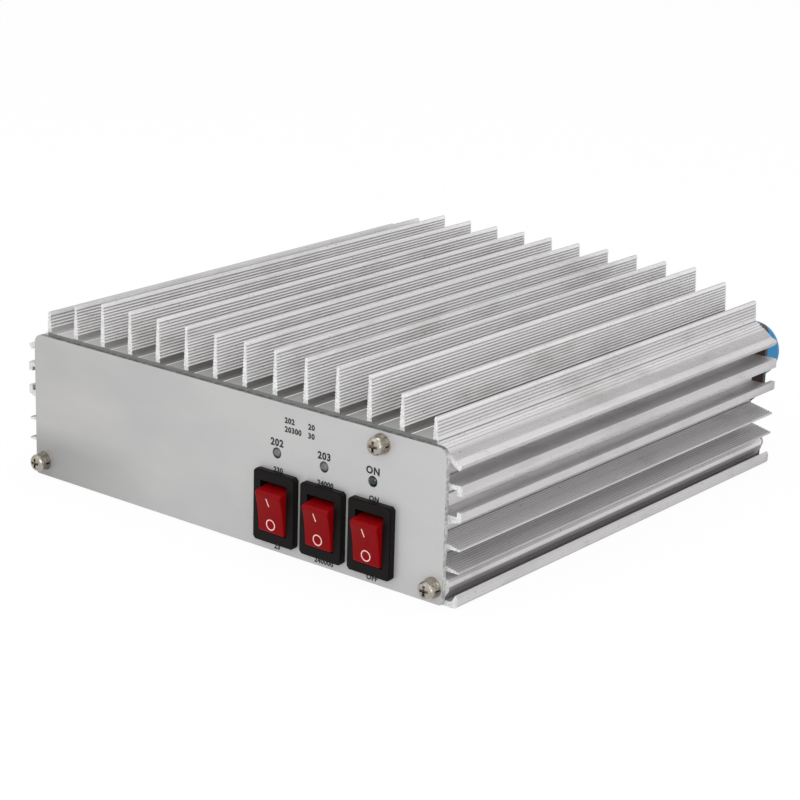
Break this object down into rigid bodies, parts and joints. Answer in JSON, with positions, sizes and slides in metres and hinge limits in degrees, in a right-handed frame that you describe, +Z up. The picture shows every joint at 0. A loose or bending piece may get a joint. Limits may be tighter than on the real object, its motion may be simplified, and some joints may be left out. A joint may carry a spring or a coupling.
{
  "type": "radio linear amplifier",
  "caption": "Radio frequency linear amplifier in a finned extruded aluminium case with rocker switches and indicator lamps in front and capped coaxial sockets behind.",
  "frame": {"origin": "bottom centre of the object's bounding box, on the surface it stands on", "axes": "+X to the right seen from the front, +Y from the front plate to the rear plate, +Z up"},
  "size_m": [0.1646, 0.191, 0.0584],
  "materials": {
    "extruded_aluminium": "satin, as extruded",
    "front_plate": "fine matt silver",
    "rear_plate": "matt black, bright cut edges",
    "lead_insulation": "smooth",
    "red_rocker": "satin, moulded",
    "black_plastic": "fine grain",
    "tinned_brass": "tinned",
    "clear_lamp": "clear epoxy",
    "green_lamp": "tinted epoxy",
    "board_laminate": "glass laminate with lacquer",
    "white_insulator": "smooth",
    "nickel_plate": "bright nickel",
    "blue_cap": "soft vinyl",
    "black_rubber": "matt",
    "transistor_metal": "gold flashed flange",
    "relay_case": "moulded",
    "capacitor_sleeve": "sleeve",
    "mica_case": "dipped",
    "ferrite": "sintered"
  },
  "bodies": {
    "case": {"heatsink": "extruded_aluminium", "bottom_tray": "extruded_aluminium", "front_panel": "front_plate", "rear_panel": "rear_plate", "front_panel_screws": "nickel_plate", "front_spring_washers": "nickel_plate", "front_flat_washers": "nickel_plate", "rear_panel_screws": "nickel_plate", "rear_spring_washers": "nickel_plate", "rear_flat_washers": "nickel_plate", "mode_switch_housing": "black_plastic", "duplex_switch_housing": "black_plastic", "power_switch_housing": "black_plastic", "mode_switch_terminals": "tinned_brass", "duplex_switch_terminals": "tinned_brass", "power_switch_terminals": "tinned_brass", "mode_switch_wires": "lead_insulation", "duplex_switch_wires": "lead_insulation", "power_switch_wires": "lead_insulation", "vhf_led": "clear_lamp", "uhf_led": "clear_lamp", "power_led": "green_lamp", "led_board": "board_laminate", "led_wires": "lead_insulation", "input_socket": "nickel_plate", "input_socket_insulator": "white_insulator", "input_socket_contact": "tinned_brass", "input_socket_nut": "nickel_plate", "output_socket": "nickel_plate", "output_socket_insulator": "white_insulator", "output_socket_contact": "tinned_brass", "output_socket_nut": "nickel_plate", "power_lead_grommet": "black_rubber", "circuit_board": "board_laminate", "board_spacers": "nickel_plate", "board_screws": "nickel_plate", "vhf_power_transistor": "transistor_metal", "uhf_power_transistor": "transistor_metal", "transistor_screws": "nickel_plate", "voltage_regulator": "black_plastic", "regulator_screw": "nickel_plate", "input_relay": "relay_case", "output_relay": "relay_case", "band_relay": "relay_case", "electrolytic_capacitors": "capacitor_sleeve", "mica_capacitors": "mica_case", "ferrite_rings": "ferrite", "protection_diode": "black_plastic"},
    "mode_rocker_body": {"mode_rocker": "red_rocker"},
    "duplex_rocker_body": {"duplex_rocker": "red_rocker"},
    "power_rocker_body": {"power_rocker": "red_rocker"},
    "input_cap_body": {"input_cap": "blue_cap"},
    "output_cap_body": {"output_cap": "blue_cap"}
  },
  "joints": [
    {"name": "mode_rocker_tilt", "type": "hinge", "parent": "case", "child": "mode_rocker_body", "pos_m": [0.0198, -0.08761, 0.01365], "axis": [-1, 0, 0], "range_deg": [0, 18]},
    {"name": "duplex_rocker_tilt", "type": "hinge", "parent": "case", "child": "duplex_rocker_body", "pos_m": [0.03695, -0.08761, 0.01365], "axis": [-1, 0, 0], "range_deg": [0, 18]},
    {"name": "power_rocker_tilt", "type": "hinge", "parent": "case", "child": "power_rocker_body", "pos_m": [0.0541, -0.08761, 0.01365], "axis": [-1, 0, 0], "range_deg": [0, 18]},
    {"name": "input_cap_pull", "type": "slide", "parent": "case", "child": "input_cap_body", "axis": [0, 1, 0], "range_m": [0, 0.016]},
    {"name": "output_cap_pull", "type": "slide", "parent": "case", "child": "output_cap_body", "axis": [0, 1, 0], "range_m": [0, 0.016]}
  ]
}
